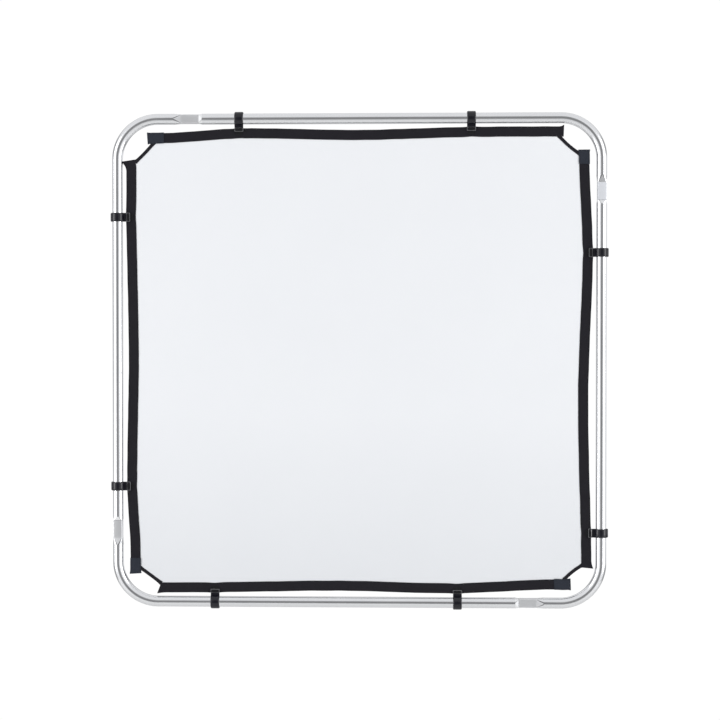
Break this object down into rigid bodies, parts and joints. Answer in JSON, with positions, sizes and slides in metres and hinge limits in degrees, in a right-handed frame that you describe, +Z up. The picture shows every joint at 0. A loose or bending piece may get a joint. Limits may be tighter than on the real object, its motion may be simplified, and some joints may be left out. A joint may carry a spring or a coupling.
{
  "type": "square diffusion scrim frame",
  "caption": "Square collapsible light diffusion panel: tube frame with plug-in corner sections and a translucent sheet hung inside it on push-on clips.",
  "frame": {"origin": "centre of the square, in the middle plane of the tubes", "axes": "+X to the right and +Z up as seen from the front; +Y to the back, square to the sheet"},
  "size_m": [1.1076, 0.0316, 1.1076],
  "materials": {
    "tube": "bright drawn aluminium, satin to polished",
    "clip": "glossy black moulded plastic",
    "diffuser": "fine translucent white woven synthetic, faintly blue",
    "border": "black woven hem tape, stitched",
    "tab": "dark slate blue woven tape",
    "loop": "black elastic webbing",
    "cord": "braid-covered rubber shock cord",
    "plug": "matt black moulded plastic"
  },
  "bodies": {
    "frame_top": {"tube_top": "tube", "cord_plug_top_left_spigot": "plug", "cord_plug_top_right_socket": "plug", "shock_cord_top_right": "cord"},
    "frame_right": {"tube_right": "tube", "cord_plug_top_right_spigot": "plug", "cord_plug_bottom_right_socket": "plug", "shock_cord_bottom_right": "cord"},
    "frame_bottom": {"tube_bottom": "tube", "cord_plug_bottom_right_spigot": "plug", "cord_plug_bottom_left_socket": "plug", "shock_cord_bottom_left": "cord"},
    "frame_left": {"tube_left": "tube", "cord_plug_bottom_left_spigot": "plug", "cord_plug_top_left_socket": "plug", "shock_cord_top_left": "cord"},
    "fabric_panel": {"diffuser_sheet": "diffuser", "border_top": "border", "border_right": "border", "border_bottom": "border", "border_left": "border", "border_tab_top": "tab", "border_tab_right": "tab", "border_tab_bottom": "tab", "border_tab_left": "tab", "corner_binding_top_right": "border", "corner_binding_bottom_right": "border", "corner_binding_bottom_left": "border", "corner_binding_top_left": "border", "clip_loop_top_1": "loop", "clip_loop_top_2": "loop", "clip_loop_right_1": "loop", "clip_loop_right_2": "loop", "clip_loop_bottom_1": "loop", "clip_loop_bottom_2": "loop", "clip_loop_left_1": "loop", "clip_loop_left_2": "loop"},
    "clip_body_top_1": {"clip_top_1": "clip"},
    "clip_body_top_2": {"clip_top_2": "clip"},
    "clip_body_right_1": {"clip_right_1": "clip"},
    "clip_body_right_2": {"clip_right_2": "clip"},
    "clip_body_bottom_1": {"clip_bottom_1": "clip"},
    "clip_body_bottom_2": {"clip_bottom_2": "clip"},
    "clip_body_left_1": {"clip_left_1": "clip"},
    "clip_body_left_2": {"clip_left_2": "clip"}
  },
  "joints": [
    {"name": "frame_pull_apart", "type": "slide", "parent": "frame_bottom", "child": "fabric_panel", "axis": [0.7071, 0, 0.7071], "range_m": [0, 0.0255], "stiffness_N_per_m": 300, "springref_m": -0.03, "deforming": ["clip_loop_top_1", "clip_loop_top_2", "clip_loop_right_1", "clip_loop_right_2", "clip_loop_bottom_1", "clip_loop_bottom_2", "clip_loop_left_1", "clip_loop_left_2"]},
    {"name": "frame_pull_apart_right", "type": "slide", "parent": "fabric_panel", "child": "frame_right", "axis": [0.7071, 0, -0.7071], "range_m": [0, 0.0255]},
    {"name": "frame_pull_apart_top", "type": "slide", "parent": "fabric_panel", "child": "frame_top", "axis": [0.7071, 0, 0.7071], "range_m": [0, 0.0255]},
    {"name": "frame_pull_apart_left", "type": "slide", "parent": "fabric_panel", "child": "frame_left", "axis": [-0.7071, 0, 0.7071], "range_m": [0, 0.0255]},
    {"name": "clip_swivel_top_1", "type": "hinge", "parent": "frame_top", "child": "clip_body_top_1", "pos_m": [-0.266, 0, 0.538], "axis": [-1, 0, 0], "range_deg": [0, 4], "stiffness_Nm_per_rad": 0.02, "springref_deg": -5.73},
    {"name": "clip_swivel_top_2", "type": "hinge", "parent": "frame_top", "child": "clip_body_top_2", "pos_m": [0.25, 0, 0.538], "axis": [-1, 0, 0], "range_deg": [0, 4], "stiffness_Nm_per_rad": 0.02, "springref_deg": -5.73},
    {"name": "clip_swivel_right_1", "type": "hinge", "parent": "frame_right", "child": "clip_body_right_1", "pos_m": [0.538, 0, 0.24], "axis": [0, 0, 1], "range_deg": [0, 4], "stiffness_Nm_per_rad": 0.02, "springref_deg": -5.73},
    {"name": "clip_swivel_right_2", "type": "hinge", "parent": "frame_right", "child": "clip_body_right_2", "pos_m": [0.538, 0, -0.3815], "axis": [0, 0, 1], "range_deg": [0, 4], "stiffness_Nm_per_rad": 0.02, "springref_deg": -5.73},
    {"name": "clip_swivel_bottom_1", "type": "hinge", "parent": "frame_bottom", "child": "clip_body_bottom_1", "pos_m": [0.22, 0, -0.538], "axis": [1, 0, 0], "range_deg": [0, 4], "stiffness_Nm_per_rad": 0.02, "springref_deg": -5.73},
    {"name": "clip_swivel_bottom_2", "type": "hinge", "parent": "frame_bottom", "child": "clip_body_bottom_2", "pos_m": [-0.3205, 0, -0.538], "axis": [1, 0, 0], "range_deg": [0, 4], "stiffness_Nm_per_rad": 0.02, "springref_deg": -5.73},
    {"name": "clip_swivel_left_1", "type": "hinge", "parent": "frame_left", "child": "clip_body_left_1", "pos_m": [-0.538, 0, -0.28], "axis": [0, 0, -1], "range_deg": [0, 4], "stiffness_Nm_per_rad": 0.02, "springref_deg": -5.73},
    {"name": "clip_swivel_left_2", "type": "hinge", "parent": "frame_left", "child": "clip_body_left_2", "pos_m": [-0.538, 0, 0.32], "axis": [0, 0, -1], "range_deg": [0, 4], "stiffness_Nm_per_rad": 0.02, "springref_deg": -5.73}
  ],
  "couplings": [
    {"joint": "frame_pull_apart_right", "follows": "frame_pull_apart", "ratio": 1},
    {"joint": "frame_pull_apart_top", "follows": "frame_pull_apart", "ratio": 1},
    {"joint": "frame_pull_apart_left", "follows": "frame_pull_apart", "ratio": 1}
  ]
}
